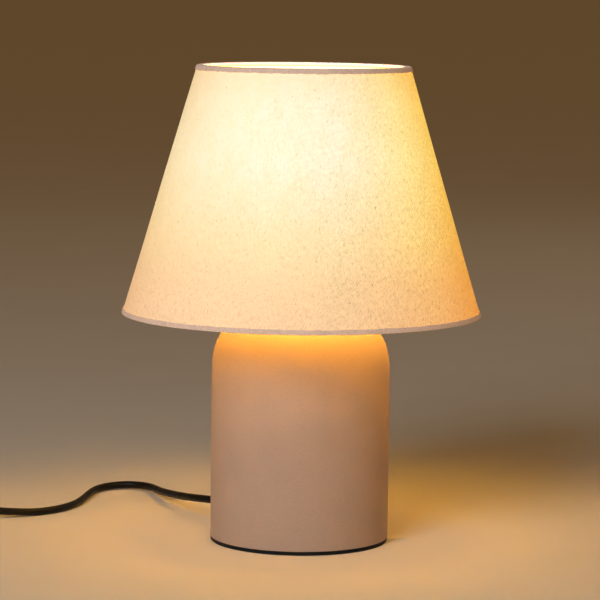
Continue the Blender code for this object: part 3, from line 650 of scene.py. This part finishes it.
def add_world():
    """A background as dark as the far floor at the horizon, and a little lighter above it."""
    horizon, above, above_from = (0.112, 0.061, 0.024), (0.151, 0.089, 0.037), 0.12
    world = bpy.data.worlds.new("studio")
    world.use_nodes = True
    tree = world.node_tree
    background = tree.nodes["Background"]
    split = tree.nodes.new("ShaderNodeSeparateXYZ")
    ramp = tree.nodes.new("ShaderNodeValToRGB")
    place = tree.nodes.new("ShaderNodeTexCoord").outputs["Generated"]
    for element, position, color in zip(ramp.color_ramp.elements, (0.0, above_from),
                                        (horizon, above)):
        element.position = position
        element.color = (*color, 1.0)
    tree.links.new(place, split.inputs[0])
    tree.links.new(split.outputs[2], ramp.inputs[0])
    tree.links.new(ramp.outputs["Color"], background.inputs["Color"])
    background.inputs["Strength"].default_value = 1.0
    bpy.context.scene.world = world
    bpy.context.scene.view_settings.view_transform = "Standard"


def area_light(name, place, target, size, power, color):
    data = bpy.data.lights.new(name, "AREA")
    data.shape = "DISK"
    data.size = size
    data.energy = power
    data.color = color
    light = bpy.data.objects.new(name, data)
    light.location = place
    aim = Vector(target) - Vector(place)
    light.rotation_euler = aim.to_track_quat("-Z", "Y").to_euler()
    bpy.context.scene.collection.objects.link(light)


def add_floor():
    half, color = 60.0, (0.74, 0.69, 0.63)
    mesh = bpy.data.meshes.new("floor")
    mesh.from_pydata([(-half, -half, 0), (half, -half, 0), (half, half, 0), (-half, half, 0)], [],
                     [(0, 1, 2, 3)])
    floor = bpy.data.objects.new("floor", mesh)
    m = Material("floor", color, 0.85, Specular_IOR_Level=0.2)
    m.set("Base Color", m.scaled(color, m.remap(m.noise(8.0, 3.0), 0.3, 0.7, 0.985, 1.015)))
    mesh.materials.append(m.material)
    floor.location.z = cad_low.z
    bpy.context.scene.collection.objects.link(floor)


add_camera()
add_world()
middle = (0.0, 0.0, 0.15)
area_light("key", (-1.08, -2.34, 1.50), middle, 1.3, 35.5, (0.92, 1.0, 1.02))
area_light("back", (1.6, 2.2, 1.9), middle, 2.0, 4.0, (1.0, 0.80, 0.60))
add_floor()


# ---------------------------------------------------------------- the lead
def cord_curve(name, route, body, replaced):
    curve = bpy.data.curves.new(name, "CURVE")
    curve.dimensions = "3D"
    curve.bevel_depth = CORD_RADIUS
    curve.bevel_resolution = 5
    curve.use_fill_caps = True
    spline = curve.splines.new("POLY")
    spline.points.add(len(route) - 1)
    for point, place in zip(spline.points, route):
        point.co = (*place, 1.0)
    spline.use_smooth = True
    curve.materials.append(PVC)
    obj = bpy.data.objects.new(name, curve)
    bpy.context.scene.collection.objects.link(obj)
    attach(obj, body)
    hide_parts(*replaced)
    return obj


def coil_point(turned):
    """The centre line of the coil after so many degrees, clockwise from its leftmost point.

    Three turns wind inward on the table, the third climbs, and two wind outward on top of them.
    Where a turn changes rows it rolls over its neighbour, a diameter away.
    """
    d, low, high = CORD_DIAMETER, COIL_LOW, COIL_LOW + 0.0059
    turn, phase = divmod(turned, 360.0)
    shift = smoothstep(285.0, 350.0, phase)          # where each turn below moves inward
    over = smoothstep(260.0, 285.0, phase) if phase > 180 else 1 - smoothstep(70.0, 95.0, phase)
    high += 0.0006 * over
    if turned < 720.0:
        radius, z = COIL_OUTER - (turn + shift) * d, low
    elif turned < 1080.0:
        roll = math.radians(180.0 - 60.0 * shift)
        radius = COIL_MIDDLE - shift * d + d * math.cos(roll)
        z = low + d * math.sin(roll)
    elif turned < 1200.0:
        roll = math.radians(120.0 - 60.0 * smoothstep(1100.0, 1190.0, turned))
        radius = COIL_INNER + d * math.cos(roll)
        z = max(low + d * math.sin(roll), low + 0.0056)
    else:
        radius, z = COIL_TOP_INNER + d * smoothstep(1440.0, 1500.0, turned), high
    angle = math.radians(180.0 - turned)
    return COIL_CENTRE + Vector((radius * math.cos(angle), radius * math.sin(angle), z))


def build_cords():
    """Both leads, each with its centre line, whose length is the real one."""
    outward = around(EXIT_AZIMUTH).to_3x3() @ Vector((1, 0, 0))
    lift = Vector((0, 0, EXIT_HEIGHT))
    inlet = SWITCH_CENTRE + Vector((SWITCH_INLET, 0, 0))
    outlet = SWITCH_CENTRE - Vector((SWITCH_INLET, 0, 0))
    lamp_side = [outward * 0.0885 + lift, outward * EXIT_TIP + lift, *LAMP_SIDE_ROUTE,
                 inlet + Vector((0.010, 0, -0.0003)), inlet]
    lamp_side = smooth_route(lamp_side, ROUTE_STEP)
    first = cord_curve("lead_to_switch", lamp_side, "base", ["cord_lamp_side"])

    coil = [coil_point(10.0 * i) for i in range(181)]
    plug_side = [outlet, outlet + Vector((-0.011, 0, -0.0002)), *COIL_IN_ROUTE, *coil,
                 *COIL_OUT_ROUTE, PLUG_START, PLUG_START + Vector((0, 0.006, 0))]
    plug_side = smooth_route(plug_side, ROUTE_STEP)
    second = cord_curve("lead_to_plug", plug_side, "base",
                        ["cord_coil_lead", "cord_coil", "cord_tail"])
    return first, lamp_side, second, plug_side


def ribbed_relief(name, start, length, thick, thin, ribs, place, body, replaced, collar):
    """A flexible strain relief: a tapered sleeve with grooves round it and a collar at its root."""
    groove_depth, clearance, lip = 0.00075, 0.00025, 0.0004
    outline = list(collar)
    steps = ribs * 8
    for i in range(steps + 1):
        share = i / steps
        radius = thick + (thin - thick) * share
        groove = smoothstep(0.25, 0.65, 0.5 + 0.5 * math.cos(2 * math.pi * ribs * share))
        ribbed = 0.3 < share * ribs < ribs - 0.3
        outline.append((radius - groove_depth * (1 - groove) * ribbed, start + length * share))
    bore = CORD_RADIUS + clearance
    tip = start + length + lip
    outline += [(thin - 0.0005, tip), (bore, tip), (bore, collar[0][1])]
    return piece(name, turned_mesh(name, outline, 40, place=place), PVC, body,
                 replaced, 50)


def power_of(value, exponent):
    """A power that keeps the sign, for the corners of a superellipse."""
    return math.copysign(abs(value) ** exponent, value)


def switch_ring(z, grow):
    """The switch's outline at a height: a bar that narrows smoothly to its two ends."""
    end_wide, wider = 0.0074, 0.0056
    points = []
    for i in range(56):
        angle = 2 * math.pi * i / 56
        x = (SWITCH_HALF + grow) * power_of(math.cos(angle), 0.45)
        wide = end_wide + wider * (1 - smoothstep(0.013, 0.033, abs(x)))
        points.append((x, (wide + grow) * power_of(math.sin(angle), 0.35), z))
    return points


def build_switch():
    """The switch's two shells, rounded along their edges, with the rocker's window in the lid."""
    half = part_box("switch_upper")[1].z - SWITCH_CENTRE.z
    rounding = 0.0030
    shells = []
    for name, way, node in (("switch_lid", 1, "switch_upper"), ("switch_tray", -1, "switch_lower")):
        rings = [switch_ring(way * 0.00020, -0.0004), switch_ring(way * 0.0006, 0.0)]
        for i in range(9):
            angle = math.pi / 2 * i / 8
            rings.append(switch_ring(way * (half - rounding + rounding * math.sin(angle)),
                                     -rounding * (1 - math.cos(angle))))
        rings.append(switch_ring(way * half, -0.0050))
        mesh = loft_mesh(name, rings[::way], Matrix.Translation(SWITCH_CENTRE))
        if way > 0:
            top = Matrix.Translation(SWITCH_CENTRE + Vector((0, 0, half)))
            mesh = with_window(mesh, top, SWITCH_WINDOW)
        shells.append(piece(name, mesh, BLACK_PLASTIC, "base", [node], 40))
    return shells


def plug_ring(y, wide, high, power):
    points = []
    for i in range(48):
        angle = 2 * math.pi * i / 48
        points.append((wide * power_of(math.cos(angle), 2 / power), y,
                       high * power_of(math.sin(angle), 2 / power)))
    return points


def build_plug():
    """The plug's moulding, with finger grooves across both narrow sides, and its strain relief."""
    low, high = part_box("plug_body")
    half_wide, half_high, start = (high.x - low.x) / 2, (high.z - low.z) / 2, low.y
    groove_pitch, groove_depth = 0.0028, 0.0006
    profile = [(0.0, 0.0072, 0.0052), (0.0006, 0.0086, 0.0060), (0.003, 0.0098, 0.0064),
               (0.008, 0.0128, half_high), (0.012, 0.0158, half_high)]
    for i in range(5):
        profile += [(0.0145 + groove_pitch * i, half_wide, half_high),
                    (0.0159 + groove_pitch * i, half_wide - groove_depth, half_high)]
    profile += [(0.030, half_wide, half_high), (0.0345, half_wide, half_high),
                (0.0356, half_wide - 0.0007, half_high - 0.0007),
                (PLUG_LENGTH, half_wide - 0.0018, half_high - 0.0018)]
    rings = [plug_ring(start + y, wide, thick, 4.5) for y, wide, thick in profile]
    mesh = loft_mesh("plug_moulding", rings, Matrix.Translation((PLUG_START.x, 0, PLUG_START.z)))
    body = piece("plug_moulding", mesh, PVC, "base", ["plug_body"], 40)
    relief = ribbed_relief("plug_sleeve", 0.0015, PLUG_RELIEF_LENGTH - 0.0020, 0.0043, 0.0060, 5,
                           Matrix.Translation(PLUG_START) @ ALONG_Y, "base", ["plug_relief"],
                           [(0.0038, 0.0)])
    return body, relief


def build_tie():
    """A hook-and-loop strap round the coil's bundle of turns, its end overlapping on top."""
    middle_radius, top = COIL_MIDDLE, COIL_LOW + 0.0062
    half_width, thickness, lap_thickness, clear_of_table = 0.0052, 0.0010, 0.0009, 0.0004
    section = [(-1, 0.0), (-1, 0.0007), (-0.93, thickness), (0.93, thickness), (1, 0.0007),
               (1, 0.0)]
    reach = CORD_RADIUS + 0.0006
    # Round each corner turn of the bundle in its turn: centre, first angle, last angle.
    corners = [((COIL_INNER, COIL_LOW), 180, 270), ((COIL_OUTER, COIL_LOW), 270, 390),
               ((COIL_TOP_OUTER, top), 30, 90), ((COIL_TOP_INNER, top), 90, 180)]
    path = []
    for (radius, height), start, end in corners:
        for i in range(7):
            angle = math.radians(start + (end - start) * i / 6)
            path.append((radius - middle_radius + reach * math.cos(angle),
                         height + reach * math.sin(angle)))
    rings = []
    for i in range(len(path) + 9):
        x, z = path[i % len(path)]
        lap = lap_thickness * smoothstep(len(path) - 8, len(path) - 3, i)
        outer = Vector((x, z - 0.0075)).normalized()
        rings.append([(x + outer.x * (out + lap), side * half_width,
                       max(z + outer.y * (out + lap), clear_of_table)) for side, out in section])
    place = Matrix.Translation(COIL_CENTRE) @ around(20, middle_radius)
    return piece("coil_strap", loft_mesh("coil_strap", rings, place), TIE_CLOTH, "base",
                 ["cord_tie"], 60)


first_cord, first_route, second_cord, second_route = build_cords()
flange = [(0.0056, 0.0690), (0.0056, EXIT_FLANGE), (0.0074, EXIT_FLANGE),
          (0.0078, EXIT_FLANGE + 0.0004), (0.0078, EXIT_FLANGE + 0.0018),
          (0.0074, EXIT_FLANGE + 0.0022)]
gland = ribbed_relief("lead_gland", EXIT_FLANGE + 0.0026, EXIT_TIP - EXIT_FLANGE - 0.0030, 0.0066,
                      0.0049, 4, around(EXIT_AZIMUTH, 0.0, EXIT_HEIGHT) @ ALONG_X, "base",
                      ["strain_relief"], flange)
switch_pieces = build_switch()
plug_body, plug_relief = build_plug()
strap = build_tie()


# ---------------------------------------------------------------- the base
def build_base():
    outline = [(NIPPLE_BORE, BASE_TOP)]
    inner_shoulder = BASE_RADIUS - SHOULDER_WIDTH
    for i in range(61):
        angle = math.pi / 2 * (1 - i / 60)
        out = math.cos(angle) ** (2 / SHOULDER_POWER)
        up = math.sin(angle) ** (2 / SHOULDER_POWER)
        outline.append((inner_shoulder + SHOULDER_WIDTH * out,
                        BASE_TOP - SHOULDER_HEIGHT + SHOULDER_HEIGHT * up))
    lip = 0.0005
    inner = BASE_RADIUS - SHELL_WALL
    outline += [(BASE_RADIUS, z) for z in (0.10, 0.05, SHELL_RIM + 2 * lip)]
    outline += [(BASE_RADIUS - lip * 0.3, SHELL_RIM + lip * 0.3), (BASE_RADIUS - lip, SHELL_RIM),
                (inner, SHELL_RIM), (inner, 0.13), (0.055, BASE_TOP - 0.008),
                (NIPPLE_BORE, BASE_TOP - SHELL_WALL)]
    piece("painted_shell", turned_mesh("painted_shell", outline, 160), POWDER_COAT, "base",
          ["base_shell"], 50)

    low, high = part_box("foot_pad")[0].z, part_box("foot_pad")[1].z
    radius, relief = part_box("foot_pad")[1].x, 0.0004
    pad = [(0.0, high), (radius, high), (radius, low + relief), (radius - relief, low),
           (radius - 0.003, low), (radius - 0.0034, low + relief),
           (radius - 0.0046, low + relief), (radius - 0.005, low), (0.0, low)]
    piece("rubber_foot", turned_mesh("rubber_foot", pad, 128, closed=False), RUBBER, "base",
          ["foot_pad"], 30)

    low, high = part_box("bottom_plate")[0].z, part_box("bottom_plate")[1].z
    radius, bore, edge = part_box("bottom_plate")[1].x, 0.0034, 0.0003
    plate = [(bore, high), (radius - edge, high), (radius, high - edge), (radius, low + edge),
             (radius - edge, low), (bore, low)]
    piece("black_plate", turned_mesh("black_plate", plate, 128), BLACK_STEEL, "base",
          ["bottom_plate"], 30)


# ---------------------------------------------------------------- the shade
def cone(z):
    """The shade's outer radius at a height."""
    share = (z - SHADE_BOTTOM) / (SHADE_TOP - SHADE_BOTTOM)
    return SHADE_BOTTOM_RADIUS + share * (SHADE_TOP_RADIUS - SHADE_BOTTOM_RADIUS)


SLOPE = math.atan2(SHADE_BOTTOM_RADIUS - SHADE_TOP_RADIUS, SHADE_TOP - SHADE_BOTTOM)
GRAIN_AZIMUTH = -150              # where the cloth's yarns run straight up the cone
SEAM_AZIMUTH = GRAIN_AZIMUTH + 180
SEAM_LAP = 3.4                    # degrees of overlap at the seam


def flat_place(azimuth, z):
    """Where a point of the cone lies on the flat cut cloth."""
    slant = cone(z) / math.sin(SLOPE)
    angle = math.radians(azimuth - GRAIN_AZIMUTH) * math.sin(SLOPE)
    return (slant * math.sin(angle), -slant * math.cos(angle), 0.0)


def build_cloth():
    """One sheet of linen wrapped round the cone, with a lapped seam at the back right."""
    low, high = SHADE_BOTTOM + 0.0009, SHADE_TOP - 0.0009
    rows_up, steps = 44, 340
    cloth_thickness, unevenness = 0.0006, 0.00035
    first = SEAM_AZIMUTH - 360.0
    rows, flat = [], []
    for i in range(steps + 1):
        azimuth = first + (360.0 + SEAM_LAP) * i / steps
        lap = cloth_thickness * smoothstep(360.0 - 1.2, 360.0, azimuth - first)
        angle = math.radians(azimuth)
        row = []
        for j in range(rows_up + 1):
            z = low + (high - low) * j / rows_up
            radius = cone(z) - CLOTH_IN
            wave = noise.noise(Vector((math.cos(angle) * 2.2, math.sin(angle) * 2.2, z * 14.0)))
            ease = min(1.0, min(z - low, high - z) / 0.03)
            radius += unevenness * wave * ease + lap
            row.append((radius * math.cos(angle), radius * math.sin(angle), z))
            flat.append(flat_place(azimuth, z))
        rows.append(row)
    width = rows_up + 1
    mesh = bpy.data.meshes.new("linen_cloth")
    faces = [(i * width + j, (i + 1) * width + j, (i + 1) * width + j + 1, i * width + j + 1)
             for i in range(steps) for j in range(rows_up)]
    mesh.from_pydata([p for row in rows for p in row], [], faces)
    attribute = mesh.attributes.new("cloth", "FLOAT_VECTOR", "POINT")
    attribute.data.foreach_set("vector", [c for p in flat for c in p])
    return piece("linen_cloth", mesh, LINEN, "shade", ["shade_fabric"], 180)


# The tape's section: how far in from the cone, what share of its outer leg's height, and how far
# beyond the shade's edge. It runs down the outer leg, over the edge and up the inner leg, and back.
BINDING = [
    (0.0, 1.0, 0.0), (0.0, 0.6, 0.0), (0.0, 0.0, 0.0012), (0.0003, 0.0, 0.0004),
    (0.0010, 0.0, 0.0001), (0.0020, 0.0, 0.0), (HEM_IN - 0.0012, 0.0, 0.0),
    (HEM_IN - 0.0003, 0.0, 0.0002), (HEM_IN + 0.0003, 0.0, 0.0006),
    (HEM_IN + TAPE, 0.0, 0.0017), (HEM_IN + TAPE, 0.0, 0.0026), (HEM_IN, 0.0, 0.0026),
    (HEM_IN - 0.0002, 0.0, 0.0010), (HEM_IN - 0.0010, 0.0, 0.0005), (0.0012, 0.0, 0.0005),
    (0.0006, 0.0, 0.0012), (0.0006, 0.6, 0.0), (0.0006, 1.0, 0.0),
]


def build_binding(name, edge, way, node, material):
    """Tape folded over an edge of the shade, its free edge a little uneven and frayed."""
    steps = 540
    uneven, frayed, puffed = 0.00048, 0.0015, 0.00012
    rows = []
    for i in range(steps):
        angle = 2 * math.pi * i / steps
        c, s = math.cos(angle), math.sin(angle)
        fray = noise.noise(Vector((c * 22, s * 22, edge * 40)))
        tuft = max(0.0, noise.noise(Vector((c * 75, s * 75, edge * 90))) - 0.28)
        leg = HEM_HEIGHT - 0.0004 + uneven * fray + frayed * tuft
        puff = puffed * noise.noise(Vector((c * 40, s * 40, 3.0)))
        row = []
        for inward, share, rise in BINDING:
            z = edge + way * (share * leg + rise)
            radius = cone(z) - inward + (puff if inward < 0.0003 and share < 1 else 0.0)
            row.append((radius * c, radius * s, z))
        rows.append(row)
    return piece(name, grid_mesh(name, rows, True, True), material, "shade",
                 [node], 50)


def build_shade():
    cloth = build_cloth()
    low, high = SHADE_BOTTOM + 0.0010, SHADE_TOP - 0.0010
    levels = [low + (high - low) * i / 16 for i in range(17)]
    film = [(cone(z) - LINING_IN, z) for z in levels]
    film += [(radius - LINING_FILM, z) for radius, z in reversed(film)]
    piece("lining_film", turned_mesh("lining_film", film, 180), LINING, "shade",
          ["shade_lining"], 50)
    trims = [build_binding("bottom_binding", SHADE_BOTTOM, 1, "bottom_trim", TAPE_CLOTH),
             build_binding("top_binding", SHADE_TOP, -1, "top_trim", TOP_TAPE_CLOTH)]

    # The cone laid flat is a sector of a ring; this is its outer radius.
    outer = SHADE_BOTTOM_RADIUS / math.sin(SLOPE)

    low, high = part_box("fitter_ring")[0].z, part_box("fitter_ring")[1].z
    inner, outer, burr, edge = 0.0203, 0.0260, 0.0004, 0.0006
    washer = [(inner + burr, high), (outer - edge, high), (outer, high - edge),
              (outer, low + edge), (outer - edge, low), (inner + burr, low),
              (inner, low + burr), (inner, high - burr)]
    piece("fitter_washer", turned_mesh("fitter_washer", washer, 72), WHITE_STEEL, "shade",
          ["fitter_ring"], 40)
    for number in (1, 2, 3):
        NODES[f"fitter_arm_{number}"].data.shade_smooth()


# ---------------------------------------------------------------- the lampholder and the bulb
def build_shade_ring():
    """The ring that clamps the shade: knurled round its skirt."""
    knurls, knurl_depth, knurled_from = 24, 0.0005, 0.0238
    low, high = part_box("shade_ring")[0].z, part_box("shade_ring")[1].z
    outline = [(0.0236, high), (0.0240, high - 0.0005), (0.0242, low + 0.0026),
               (0.0272, low + 0.0024), (0.0280, low + 0.0018), (0.0280, low + 0.0004),
               (0.0274, low), (0.0201, low), (0.0201, high - 0.0004), (0.0205, high)]

    def knurl(radius, height, angle):
        if radius > knurled_from and height > low + 0.0003:
            radius += knurl_depth * smoothstep(-0.3, 0.5, math.cos(knurls * angle))
        return radius, height
    piece("shade_nut", turned_mesh("shade_nut", outline, 240, shape=knurl), WHITE_PLASTIC,
          "shade_ring", ["shade_ring"], 35)


def build_skirt():
    """The lampholder's skirt, with the thread that the shade ring runs on."""
    low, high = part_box("holder_skirt")[0].z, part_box("holder_skirt")[1].z
    shoulder = 0.2160
    threads = [(SKIRT_THREAD_RADIUS, high - 0.0015 - 0.00035 * i) for i in range(58)]
    outline = [(0.0178, high), (0.0189, high), (0.0194, high - 0.0006), *threads,
               (0.0193, 0.2235), (0.0197, 0.2225), (0.0197, shoulder), (0.0231, shoulder),
               (0.0235, shoulder - 0.0004), (0.0235, low + 0.0004), (0.0231, low),
               (0.0178, low), (0.0178, 0.2400), (0.0145, 0.2420), (0.0145, high - 0.0004),
               (0.0149, high)]

    def thread(radius, height, angle):
        if radius == SKIRT_THREAD_RADIUS:
            fade = smoothstep(0.2240, 0.2260, height)
            fade *= 1 - smoothstep(high - 0.003, high - 0.0016, height)
            wave = math.cos(2 * math.pi * height / SKIRT_THREAD_PITCH - angle)
            radius += (0.0002 + 0.00045 * wave) * fade
        return radius, height
    piece("threaded_skirt", turned_mesh("threaded_skirt", outline, 96, shape=thread),
          WHITE_PLASTIC, "base", ["holder_skirt"], 50)


def build_bulb():
    low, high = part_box("bulb_screw_cap")[0].z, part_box("bulb_screw_cap")[1].z
    steps, thread_depth = 64, 0.0005
    cap = [(0.0101, low), (0.0114, low), (0.0121, low + 0.0011)]
    cap += [(SCREW_CAP_RADIUS, low + 0.0016 + (high - low - 0.0034) * i / steps)
            for i in range(steps + 1)]
    cap += [(0.0129, high - 0.0012), (0.0131, high - 0.0008), (0.0131, high), (0.0118, high),
            (0.0118, low + 0.002)]

    def thread(radius, height, angle):
        if radius == SCREW_CAP_RADIUS:
            fade = smoothstep(low + 0.0012, low + 0.003, height)
            fade *= 1 - smoothstep(high - 0.004, high - 0.002, height)
            wave = math.cos(2 * math.pi * height / SCREW_CAP_PITCH - angle)
            radius += thread_depth * wave * fade
        return radius, height
    piece("threaded_cap", turned_mesh("threaded_cap", cap, 72, shape=thread), NICKEL, "bulb",
          ["bulb_screw_cap"], 50)

    neck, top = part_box("bulb_glass")[0].z, BULB_CENTRE + BULB_RADIUS
    knots = [(0.0134, neck), (0.0139, neck + 0.006), (0.0160, neck + 0.0135)]
    for latitude in (-42, -28, -14, 0, 15, 30, 45, 60, 75):
        angle = math.radians(latitude)
        knots.append((BULB_RADIUS * math.cos(angle), BULB_CENTRE + BULB_RADIUS * math.sin(angle)))
    knots.append((0.0, top))
    route = smooth_route([(radius, 0.0, z) for radius, z in knots], 0.0018)
    outline = [(0.0, neck), *((max(0.0, p.x), p.z) for p in route[:-1]), (0.0, top)]
    piece("opal_envelope", turned_mesh("opal_envelope", outline, 96, closed=False), OPAL, "bulb",
          ["bulb_glass"], 50)


build_base()
build_shade()
build_shade_ring()
build_skirt()
build_bulb()
